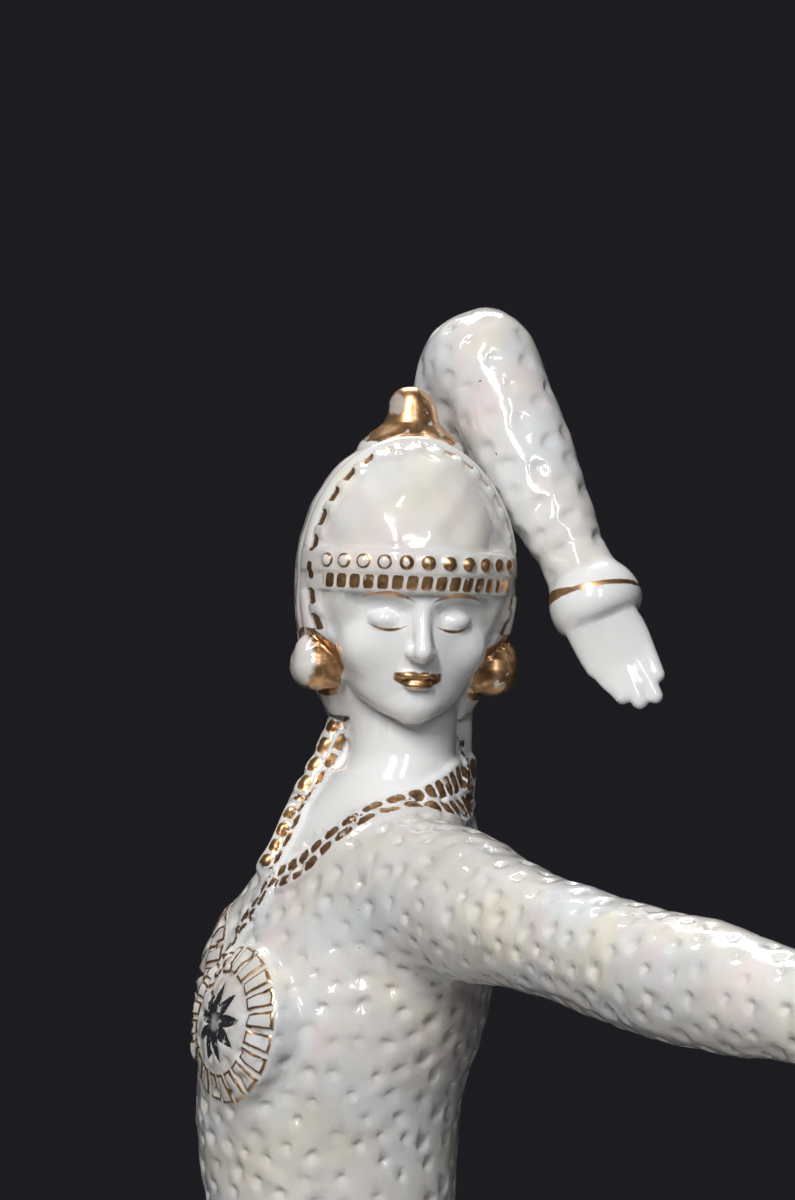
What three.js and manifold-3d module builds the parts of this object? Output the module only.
// A glazed ceramic dancer on a stepped octagonal plinth: one slip-cast piece, modelled as one solid.
// Millimetres, +Z up. The origin is the centre of the plinth's underside. The head looks towards -Y.
import * as THREE from 'three';
import { LoftGeometry } from 'three/addons/geometries/LoftGeometry.js';
import { mergeVertices } from 'three/addons/utils/BufferGeometryUtils.js';
import Module from 'manifold-3d';

const wasm = await Module();
wasm.setup();

// Driving dimensions
const plinth = { height: 17, step: 8, lowerRadius: 69, upperRadius: 64, chamfer: 1.2, corners: 8 };
const gown = { flutes: 12, fluteDepth: 0.13, fluteStart: 172, sides: 48, rings: 22 };
const head = { centre: [ 9.5, - 1, 418.5 ], turn: 10, faceNod: 7, helmetNod: 1, lean: 2 };
const helmet = { wide: 21.2, front: 24, back: 26, tall: 27, rise: 3 };
const glaze = { color: 0xe9e6e0, roughness: 0.18, metalness: 0 };

const radians = THREE.MathUtils.degToRad;

// The body from the plinth to the root of the neck, as level sections: x and y of the section's
// centre, its height, the way it faces, half its width across the body and half its depth.
const bodySections = [
	{ x: 1, y: 0, z: 15, turn: 46, wide: 54, deep: 49 },
	{ x: 0, y: 0, z: 31, turn: 47, wide: 50, deep: 45 },
	{ x: - 3, y: 0, z: 58, turn: 49, wide: 42, deep: 37.5 },
	{ x: - 6, y: 0, z: 90, turn: 52, wide: 34, deep: 30 },
	{ x: - 8.5, y: 0, z: 122, turn: 55, wide: 29.4, deep: 25.6 },
	{ x: - 9.5, y: 0, z: 152, turn: 57, wide: 30, deep: 25.4 },
	{ x: - 9.5, y: 0, z: 182, turn: 60, wide: 34, deep: 27.6 },
	{ x: - 8.6, y: 0, z: 210, turn: 63, wide: 37.6, deep: 29 },
	{ x: - 7.6, y: 0, z: 232, turn: 65, wide: 38, deep: 28.6 },
	{ x: - 6.6, y: 0, z: 252, turn: 68, wide: 34.4, deep: 26.8 },
	{ x: - 5.6, y: 0, z: 270, turn: 71, wide: 30, deep: 24.8 },
	{ x: - 5, y: 0, z: 287, turn: 73, wide: 27.4, deep: 24 },
	{ x: - 5.6, y: 0, z: 304, turn: 75, wide: 28.6, deep: 25.5 },
	{ x: - 5.6, y: 0, z: 317, turn: 75, wide: 30, deep: 26.4 },
	{ x: - 2.2, y: 0, z: 330, turn: 75, wide: 31.8, deep: 26.6 },
	{ x: 0.9, y: 0, z: 343, turn: 75, wide: 32.4, deep: 26 },
	{ x: 1.9, y: 0.5, z: 355, turn: 75, wide: 30.2, deep: 24.2 },
	{ x: 3.6, y: 1, z: 365, turn: 75, wide: 26, deep: 20.8 },
	{ x: 4.8, y: 1, z: 374, turn: 75, wide: 19, deep: 16.4 },
	{ x: 6.6, y: 1, z: 382, turn: 75, wide: 12.6, deep: 12 },
];

// Soft swellings of the body: height, how far forward and to its left, how much it lifts, and how far
// it spreads across and along.
const swellings = [
	{ z: 333, forward: 26, left: 12, lift: 6, across: 12.5, along: 13 }, // left breast
	{ z: 342, forward: 24, left: - 13.5, lift: 6.6, across: 12.5, along: 13 }, // right breast
	{ z: 229, forward: - 27, left: 15, lift: 6.5, across: 15, along: 20 }, // seat
	{ z: 229, forward: - 27, left: - 15, lift: 6.5, across: 15, along: 20 },
	{ z: 192, forward: 26, left: 12, lift: 5, across: 15, along: 30 }, // left thigh
	{ z: 147, forward: 25, left: 11, lift: 9, across: 13, along: 24 }, // left knee
	{ z: 252, forward: 25, left: 0, lift: 1.5, across: 15, along: 14 }, // belly
];

// Limbs as rows of oval sections: the centre, and half the width and depth.
const neck = [
	[ 6, 0, 366, 15, 14 ], [ 8.2, 0, 377, 11.8, 12 ], [ 8.9, -0.5, 386, 10.8, 11 ],
	[ 9.2, -0.5, 395, 10.8, 11 ], [ 9.6, 0, 404, 11.2, 11.6 ],
];
const napeHood = [
	[ 7, 5, 364, 19, 13 ], [ 5.8, 6.5, 374.5, 17.4, 11.4 ], [ 7.4, 8, 382, 15.6, 9.6 ],
	[ 8.9, 9, 390, 14.4, 9 ], [ 9.8, 9.5, 400, 13.8, 9.6 ], [ 9.8, 9, 410, 13.6, 12 ],
];
// Middle lines of the two bands of the collar, from the point on the chest to the hood.
const collar = { wide: 6.4, thick: 1.6 };
const leftBand = [
	[ - 17, - 11.5, 362.9 ], [ - 14.2, - 16.2, 363.9 ], [ - 10, - 19, 366.6 ], [ - 4.2, - 20.4, 370.5 ],
	[ 1.7, - 19.8, 373.6 ], [ 8, - 17.8, 375.3 ], [ 13.6, - 14.4, 376.4 ], [ 18.6, - 9.4, 377.2 ],
	[ 21.4, - 3.6, 378.8 ], [ 22, 1, 383 ], [ 21.2, 3, 390 ], [ 20.8, 4, 397 ],
];
const rightBand = [
	[ - 17.2, - 8, 363.3 ], [ - 15.3, - 5.3, 366.4 ], [ - 13.4, - 3.2, 370.3 ], [ - 11.6, - 0.5, 374.2 ],
	[ - 9.6, 1.4, 378.4 ], [ - 7.2, 2.6, 383.4 ], [ - 4.9, 3.4, 388 ], [ - 3.4, 4, 393 ], [ - 3.2, 4, 398 ],
];
const plate = { radius: 15.7, rise: 5.7, edge: 0.6 };
const plates = [
	{ z: 333.6, forward: 25.3, left: 12.5, turn: 60, tip: 9 },
	{ z: 339.5, forward: 23.8, left: - 14.7, turn: 90, tip: 10 },
];

const leftArm = [
	[ 9, - 17, 360, 15.5, 15.5 ], [ 20, - 33.4, 358.4, 14.2, 14.4 ], [ 27.2, - 44.5, 356.6, 12.4, 12.6 ],
	[ 34.6, - 56, 355, 11.1, 11.3 ], [ 44.5, - 71, 352.7, 11, 11.2 ], [ 52.6, - 83.6, 350.9, 11.1, 11.1 ],
	[ 60.3, - 95.4, 350.1, 11.2, 11 ], [ 67.9, - 105, 349, 10.3, 10.3 ], [ 75, - 113.9, 347.9, 9.3, 9.4 ],
	[ 84, - 125.3, 346.7, 8.2, 8.3 ], [ 92.4, - 135.8, 345.8, 6.6, 6.6 ],
];
const rightUpperArm = [
	[ 4, 20, 358, 15, 15 ], [ 5, 35, 374, 14.4, 14.4 ], [ 8, 42, 396, 13, 13 ],
	[ 12.4, 41.4, 420, 12, 12 ], [ 18.4, 34, 443, 11.5, 11.6 ], [ 23.8, 22.4, 464.4, 11.3, 11.4 ],
];
const rightForearm = [
	[ 26, 18.6, 464.6, 11.4, 11.2 ], [ 30.4, 14.5, 454, 10.8, 10.5 ], [ 35.3, 9.8, 443, 9.4, 9.3 ],
	[ 40.2, 5.2, 431.8, 7.9, 7.9 ], [ 43.5, 2.6, 424.4, 6.6, 6.6 ],
];

// Hands hang from the sleeve ends: where each starts, the way it points and the way its width runs.
const rightHand = { start: [ 46.4, 0.5, 418.6 ], along: [ 9.5, - 7, - 21.4 ], across: [ 0.91, 0, 0.41 ] };
const leftHand = { start: [ 97.4, - 142.2, 345.4 ], along: [ 16, - 19.5, 2.2 ], across: [ 0.72, 0.55, 0.42 ] };
// Rows of the flared cuff: place along the hand and radius.
const cuff = [ [ - 7.6, 6.5 ], [ - 3.5, 7.1 ], [ - 0.5, 8.6 ], [ 1.8, 9.3 ], [ 4, 9.4 ], [ 5.8, 9 ], [ 7.2, 8 ] ];
// Rows of the palm: place along, sideways, towards its outer face, half width and half depth.
const palm = [
	[ - 1, 0, 3.2, 6.4, 5 ], [ 3, - 0.4, 2.9, 7, 5 ], [ 8, - 0.8, 2, 7.5, 4 ], [ 13, - 0.4, 0.9, 7.3, 3 ],
	[ 17.5, - 0.2, 0.3, 6.2, 2 ],
];
// The digits, thumb first: sideways place, start, length and radius.
const digits = [
	{ side: - 5.4, start: 8, length: 9.8, radius: 2.3 },
	{ side: - 3, start: 11, length: 13.9, radius: 2 },
	{ side: - 0.3, start: 11, length: 16.2, radius: 2.05 },
	{ side: 2.8, start: 11, length: 16.4, radius: 1.85 },
	{ side: 5.2, start: 11, length: 12.6, radius: 1.8 },
];

// Catmull-Rom value between the middle two of four numbers.
function ease( a, b, c, d, t ) {

	return 0.5 * ( 2 * b + ( c - a ) * t + ( 2 * a - 5 * b + 4 * c - d ) * t * t + ( 3 * b - a - 3 * c + d ) * t ** 3 );

}

// The row of numbers at place t of a list of rows, where t runs from 0 to 1.
function rowAt( rows, t ) {

	const last = rows.length - 1;
	const i = Math.min( Math.floor( t * last ), last - 1 );
	const [ a, b, c, d ] = [ i - 1, i, i + 1, i + 2 ].map( k => rows[ THREE.MathUtils.clamp( k, 0, last ) ] );
	return b.map( ( _, k ) => ease( a[ k ], b[ k ], c[ k ], d[ k ], t * last - i ) );

}

// A closed mesh as a solid that can be joined and cut.
function solid( geometry, matrix ) {

	const bare = new THREE.BufferGeometry().copy( geometry );
	bare.deleteAttribute( 'normal' );
	bare.deleteAttribute( 'uv' );
	if ( matrix ) bare.applyMatrix4( matrix );
	const merged = mergeVertices( bare, 1e-4 );
	return new wasm.Manifold( new wasm.Mesh( {
		numProp: 3,
		vertProperties: new Float32Array( merged.attributes.position.array ),
		triVerts: new Uint32Array( merged.index.array ),
	} ) );

}

function loft( sections ) {

	return new LoftGeometry( sections, { capStart: true, capEnd: true } );

}

// One oval ring of points about centre, in the plane of side and up.
function ring( centre, side, up, wide, deep, sides, shape = () => 1 ) {

	return Array.from( { length: sides }, ( _, i ) => {

		const angle = 2 * Math.PI * i / sides;
		const scale = shape( angle );
		return centre.clone()
			.addScaledVector( side, wide * scale * Math.cos( angle ) )
			.addScaledVector( up, deep * scale * Math.sin( angle ) );

	} );

}

// A limb along rows of [ x, y, z, half width, half depth ], with round ends where asked.
function limb( rows, { sides = 14, steps = 8, across = [ 1, 0, 0 ], roundStart = false, roundEnd = false } = {} ) {

	const place = t => new THREE.Vector3( ...rowAt( rows, t ) );
	const rings = [];
	const addRing = ( t, slide = 0, scale = 1 ) => {

		const [ , , , wide, deep ] = rowAt( rows, t );
		const tangent = place( Math.min( t + 0.01, 1 ) ).sub( place( Math.max( t - 0.01, 0 ) ) ).normalize();
		const side = new THREE.Vector3( ...across );
		side.addScaledVector( tangent, - side.dot( tangent ) ).normalize();
		const up = tangent.clone().cross( side );
		const centre = place( t ).addScaledVector( tangent, slide * ( wide + deep ) / 2 );
		rings.push( ring( centre, side, up, wide * scale, deep * scale, sides ) );

	};

	const capAngles = [ 68, 34 ];
	if ( roundStart ) capAngles.forEach( a => addRing( 0, - Math.sin( radians( a ) ), Math.cos( radians( a ) ) ) );
	for ( let i = 0; i <= steps; i ++ ) addRing( i / steps );
	if ( roundEnd ) [ ...capAngles ].reverse().forEach( a => addRing( 1, Math.sin( radians( a ) ), Math.cos( radians( a ) ) ) );
	return solid( loft( rings ) );

}

// An ellipsoid at a place, turned by Euler angles in degrees.
function ball( centre, radii, turn = [ 0, 0, 0 ], columns = 14, rows = 10 ) {

	const place = new THREE.Matrix4().compose(
		new THREE.Vector3( ...centre ),
		new THREE.Quaternion().setFromEuler( new THREE.Euler( ...turn.map( radians ) ) ),
		new THREE.Vector3( ...radii ),
	);
	return solid( new THREE.SphereGeometry( 1, columns, rows ), place );

}

function join( solids ) {

	return solids.reduce( ( whole, s ) => whole.add( s ) );

}

// The way that a section faces and the way of its left side.
function facing( turn ) {

	const a = radians( turn );
	return {
		forward: new THREE.Vector3( - Math.sin( a ), - Math.cos( a ), 0 ),
		left: new THREE.Vector3( Math.cos( a ), - Math.sin( a ), 0 ),
	};

}

// A point beside the body's middle line at a height: so far forward, and so far to its left.
function bodyPoint( z, forward, left ) {

	const rows = bodySections.map( s => [ s.z, s.x, s.y, s.turn ] );
	let t = 0;
	while ( t < 1 && rowAt( rows, t )[ 0 ] < z ) t += 0.002;
	const [ , x, y, turn ] = rowAt( rows, Math.min( t, 1 ) );
	const way = facing( turn );
	return new THREE.Vector3( x, y, z ).addScaledVector( way.forward, forward ).addScaledVector( way.left, left );

}

// Fluted gown and fitted bodice in one loft of level sections, with its swellings.
function makeBody() {

	const rows = bodySections.map( s => [ s.x, s.y, s.z, s.turn, s.wide, s.deep ] );
	const forms = swellings.map( f => ( { ...f, at: bodyPoint( f.z, f.forward, f.left ) } ) );
	const rings = [];
	for ( let i = 0; i <= gown.rings; i ++ ) {

		const [ x, y, z, turn, wide, deep ] = rowAt( rows, i / gown.rings );
		const low = THREE.MathUtils.clamp( ( gown.fluteStart - z ) / ( gown.fluteStart - plinth.height ), 0, 1 );
		const depth = gown.fluteDepth * low;
		const flute = angle => 1 - depth * ( 0.5 - 0.5 * Math.cos( gown.flutes * angle + 0.8 * low ) );
		const { forward, left } = facing( turn );
		const centre = new THREE.Vector3( x, y, z );
		const points = ring( centre, left, forward.clone().negate(), wide, deep, gown.sides, flute );
		for ( const p of points ) {

			const out = p.clone().sub( centre ).normalize();
			const lift = forms.map( f => f.lift * Math.exp(
				- ( ( p.x - f.at.x ) ** 2 + ( p.y - f.at.y ) ** 2 ) / f.across ** 2 - ( ( z - f.z ) / f.along ) ** 2,
			) );
			p.addScaledVector( out, lift.reduce( ( sum, v ) => sum + v, 0 ) );

		}
		rings.push( points );

	}
	return solid( loft( rings ) );

}

// A flat band along points, its flat side turned away from the middle of the neck.
function makeBand( rows, steps ) {

	const place = t => new THREE.Vector3( ...rowAt( rows, t ) );
	const rings = [];
	for ( let i = 0; i <= steps; i ++ ) {

		const t = i / steps;
		const centre = place( t );
		const along = place( Math.min( t + 0.01, 1 ) ).sub( place( Math.max( t - 0.01, 0 ) ) ).normalize();
		const out = centre.clone().sub( new THREE.Vector3( 5, 2, centre.z - 9 ) );
		out.addScaledVector( along, - out.dot( along ) ).normalize();
		const side = out.clone().cross( along );
		const at = ( a, b ) => centre.clone().addScaledVector( side, a * collar.wide / 2 ).addScaledVector( out, b * collar.thick );
		rings.push( [ at( - 1, - 1 ), at( 1, - 1 ), at( 1, 0.2 ), at( 0.8, 0.5 ), at( - 0.8, 0.5 ), at( - 1, 0.2 ) ] );

	}
	return solid( loft( rings ) );

}

// A domed disc on each breast.
function makePlates() {

	const { radius, rise, edge } = plate;
	const profile = [
		[ 0, - 6 ], [ radius - 1, - 6 ], [ radius, 0 ], [ radius - 0.5, edge ], [ radius * 0.7, edge + rise * 0.53 ],
		[ radius * 0.36, edge + rise * 0.89 ], [ 0, edge + rise ],
	].map( ( [ r, z ] ) => new THREE.Vector2( r, z ) );
	return join( plates.map( p => {

		const centre = bodyPoint( p.z, p.forward, p.left );
		const out = facing( p.turn ).forward.setZ( Math.tan( radians( p.tip ) ) ).normalize();
		const turn = new THREE.Quaternion().setFromUnitVectors( new THREE.Vector3( 0, 1, 0 ), out );
		return solid( new THREE.LatheGeometry( profile, 20 ), new THREE.Matrix4().compose( centre, turn, new THREE.Vector3( 1, 1, 1 ) ) );

	} ) );

}

// Toes that show below the hem at the front.
function makeFeet() {

	return join( [ 1, - 1 ].map( side => {

		const heel = bodyPoint( plinth.height + 6, 34, side * 13 );
		const toe = bodyPoint( plinth.height + 3.4, side > 0 ? 56 : 51, side * 15 );
		const middle = heel.clone().lerp( toe, 0.6 );
		return limb(
			[ [ ...heel, 7, 6.5 ], [ ...middle, 7, 5 ], [ ...toe, 5.2, 3.2 ] ],
			{ sides: 10, steps: 3, across: [ 0.7, - 0.7, 0 ], roundEnd: true },
		);

	} ) );

}

// A hand in its cuff: a flat palm with the digits laid side by side.
function makeHand( { start, along, across } ) {

	const way = new THREE.Vector3( ...along ).normalize();
	const side = new THREE.Vector3( ...across );
	side.addScaledVector( way, - side.dot( way ) ).normalize();
	const thick = way.clone().cross( side );
	const at = ( far, sideways, off = 0 ) => new THREE.Vector3( ...start )
		.addScaledVector( way, far ).addScaledVector( side, sideways ).addScaledVector( thick, off ).toArray();
	const options = { across: side.toArray() };
	const cuffRows = cuff.map( ( [ far, radius ] ) => [ ...at( far, 0 ), radius, radius ] );
	const palmRows = palm.map( ( [ far, sideways, off, wide, deep ] ) => [ ...at( far, sideways, off ), wide, deep ] );
	const parts = [
		limb( cuffRows, { ...options, sides: 14, steps: 6, roundEnd: true } ),
		limb( palmRows, { ...options, sides: 12, steps: 4, roundEnd: true } ),
	];
	for ( const d of digits ) {

		const reach = d.start + d.length;
		const rows = [
			[ ...at( d.start, d.side, 0.6 ), d.radius, d.radius * 1.1 ],
			[ ...at( d.start + d.length * 0.5, d.side, 0.2 ), d.radius, d.radius ],
			[ ...at( reach - d.radius, d.side, 0 ), d.radius * 0.88, d.radius * 0.8 ],
		];
		parts.push( limb( rows, { ...options, sides: 6, steps: 2, roundEnd: true } ) );

	}
	return join( parts );

}

// The matrix that puts the head's own frame in place: its x to the left, -y through the face, z up.
function headMatrix( nod ) {

	return new THREE.Matrix4().compose(
		new THREE.Vector3( ...head.centre ),
		new THREE.Quaternion().setFromEuler( new THREE.Euler( radians( nod ), radians( head.lean ), radians( head.turn ), 'ZYX' ) ),
		new THREE.Vector3( 1, 1, 1 ),
	);

}

// A level ring in the head's frame, with its own depth in front and behind.
function headRing( z, wide, front, back, middle, sides ) {

	return Array.from( { length: sides }, ( _, i ) => {

		const angle = 2 * Math.PI * i / sides;
		const deep = Math.sin( angle ) < 0 ? front : back;
		return new THREE.Vector3( wide * Math.cos( angle ), middle + deep * Math.sin( angle ), z );

	} );

}

// Skull and face from the chin to inside the helmet, with low forms for the features.
function makeFace() {

	const rows = [
		[ - 23.4, 3.2, 3, 4, - 15.4 ], [ - 22.6, 6.2, 5, 8, - 13 ], [ - 20.4, 9.6, 8, 12, - 10.6 ],
		[ - 17, 12.4, 12, 14, - 7.6 ], [ - 12, 14.8, 16, 17, - 4.6 ], [ - 6, 16.2, 19, 20, - 2.4 ],
		[ 0, 16.8, 20.4, 21, - 1.2 ], [ 6, 16.9, 20.8, 21, - 0.6 ], [ 14, 15, 19, 19, 0 ],
	];
	const steps = 10;
	const rings = [];
	for ( let i = 0; i <= steps; i ++ ) {

		const [ z, wide, front, back, middle ] = rowAt( rows, i / steps );
		rings.push( headRing( z, wide, front, back, middle, 20 ) );

	}
	const features = [
		limb( [ [ 0, - 20.2, - 1, 1.3, 1.6 ], [ 0, - 21.6, - 5.5, 1.5, 1.9 ], [ 0, - 22.4, - 9.4, 2.1, 2.1 ] ],
			{ sides: 8, steps: 3, roundStart: true, roundEnd: true } ),
		ball( [ 0, - 18.6, - 14.4 ], [ 3.6, 1.9, 0.9 ], [ 0, 0, 0 ], 8, 5 ),
		ball( [ 0, - 18.2, - 16 ], [ 2.9, 2, 1 ], [ 0, 0, 0 ], 8, 5 ),
		...[ 1, - 1 ].map( side => ball( [ side * 7.1, - 18, - 3 ], [ 3.6, 2.2, 1.9 ], [ 0, 0, 12 * side ], 8, 6 ) ),
	];
	return join( [ solid( loft( rings ) ), ...features ] );

}

// The helmet's outer form, grown by a margin for the bands that lie on it.
function helmetForm( margin, sides = 24 ) {

	const grow = 1 + margin / helmet.wide;
	const rings = [];
	const lower = [
		[ - 24, 14.4, 4, 20.5, 3 ], [ - 18, 17.2, 9, 22.5, 2 ], [ - 11, 19.8, 15, 25, 0.6 ],
		[ - 4, 21.2, 21, 26, 0 ], [ helmet.rise, helmet.wide, helmet.front, helmet.back, 0 ],
	];
	for ( let i = 0; i < 5; i ++ ) {

		const [ z, wide, front, back, middle ] = rowAt( lower, i / 5 );
		rings.push( headRing( z, wide * grow, front * grow, back * grow, middle, sides ) );

	}
	for ( let i = 0; i <= 7; i ++ ) {

		const a = radians( 86 * i / 7 );
		const flat = Math.cos( a ) * grow;
		rings.push( headRing(
			helmet.rise + ( helmet.tall + margin ) * Math.sin( a ),
			helmet.wide * flat, helmet.front * flat, helmet.back * flat, 0, sides,
		) );

	}
	return solid( loft( rings ) );

}

function block( low, high ) {

	const size = high.map( ( v, i ) => v - low[ i ] );
	const centre = high.map( ( v, i ) => ( v + low[ i ] ) / 2 );
	return solid( new THREE.BoxGeometry( ...size ), new THREE.Matrix4().makeTranslation( ...centre ) );

}

// Helmet with its face opening, the brow band, the band from ear to ear, the knob and the ear drops.
function makeHelmet() {

	const opening = { half: 15.6, top: - 0.4, depth: - 12.2 };
	const faceCut = block( [ - opening.half, - 40, - 40 ], [ opening.half, opening.depth, opening.top ] );
	const browBand = helmetForm( 0.9 ).intersect( block( [ - 40, - 40, opening.top ], [ 40, - 6, opening.top + 8 ] ) );
	const earBand = helmetForm( 1 ).intersect( block( [ - 40, - 11, - 14 ], [ 40, - 2, 40 ] ) );
	const knobProfile = [
		[ 0, - 4 ], [ 10.5, - 4 ], [ 8.6, 0.9 ], [ 6.2, 2.6 ], [ 4.7, 4.6 ], [ 4.2, 7.6 ], [ 3.5, 9.6 ], [ 2, 10.7 ], [ 0, 11 ],
	].map( ( [ r, z ] ) => new THREE.Vector2( r, z ) );
	const knobPlace = new THREE.Matrix4().makeTranslation( 1.05, 4, helmet.rise + helmet.tall - 1.4 )
		.multiply( new THREE.Matrix4().makeRotationX( Math.PI / 2 ) );
	const knob = solid( new THREE.LatheGeometry( knobProfile, 12 ), knobPlace );
	const drops = [ 1, - 1 ].map( side => limb(
		[ [ side * 16.6, - 2, - 9.3, 1.8, 2 ], [ side * 17.9, - 3.4, - 13.4, 3.9, 4.2 ], [ side * 17.9, - 3.8, - 15.8, 4.7, 4.8 ] ],
		{ sides: 10, steps: 3, roundStart: true, roundEnd: true },
	) );
	const shell = helmetForm( 0 ).subtract( faceCut );
	return join( [ shell, browBand, earBand, knob, ...drops ] );

}

// Octagonal plinth in two steps with soft upper edges.
function makePlinth() {

	const octagon = radius => new THREE.Shape( Array.from( { length: plinth.corners }, ( _, i ) => {

		const angle = 2 * Math.PI * ( i + 0.5 ) / plinth.corners;
		return new THREE.Vector2( radius * Math.cos( angle ), radius * Math.sin( angle ) );

	} ) );
	const slab = ( radius, low, high ) => solid( new THREE.ExtrudeGeometry( octagon( radius - plinth.chamfer ), {
		depth: high - low - 2 * plinth.chamfer,
		bevelThickness: plinth.chamfer,
		bevelSize: plinth.chamfer,
		bevelSegments: 2,
	} ), new THREE.Matrix4().makeTranslation( 0, 0, low + plinth.chamfer ) );
	return slab( plinth.lowerRadius, 0, plinth.step ).add( slab( plinth.upperRadius, plinth.step - 3, plinth.height ) );

}

function makeFigurine() {

	const face = makeFace().transform( headMatrix( head.faceNod ).toArray() );
	const helm = makeHelmet().transform( headMatrix( head.helmetNod ).toArray() );
	return join( [
		makePlinth(),
		makeBody(),
		makeBand( leftBand, 16 ),
		makeBand( rightBand, 10 ),
		makePlates(),
		makeFeet(),
		limb( neck, { sides: 16, steps: 5 } ),
		limb( napeHood, { sides: 16, steps: 5 } ),
		face,
		helm,
		limb( leftArm, { sides: 13, steps: 12, across: [ 0, 0, 1 ] } ),
		limb( rightUpperArm, { sides: 13, steps: 6, roundEnd: true } ),
		limb( rightForearm, { sides: 13, steps: 9, roundStart: true } ),
		makeHand( leftHand ),
		makeHand( rightHand ),
	] );

}

function asMesh( name, whole ) {

	const { numProp, vertProperties, triVerts } = whole.getMesh();
	const geometry = new THREE.BufferGeometry();
	const positions = new Float32Array( vertProperties.length / numProp * 3 );
	for ( let i = 0; i < positions.length / 3; i ++ ) {

		positions.set( vertProperties.subarray( i * numProp, i * numProp + 3 ), i * 3 );

	}
	geometry.setAttribute( 'position', new THREE.BufferAttribute( positions, 3 ) );
	geometry.setIndex( new THREE.BufferAttribute( new Uint32Array( triVerts ), 1 ) );
	geometry.computeVertexNormals();
	const mesh = new THREE.Mesh( geometry, new THREE.MeshStandardMaterial( glaze ) );
	mesh.name = name;
	return mesh;

}

const figurine = new THREE.Group();
figurine.add( asMesh( 'dancer_figurine', makeFigurine() ) );

export default figurine;
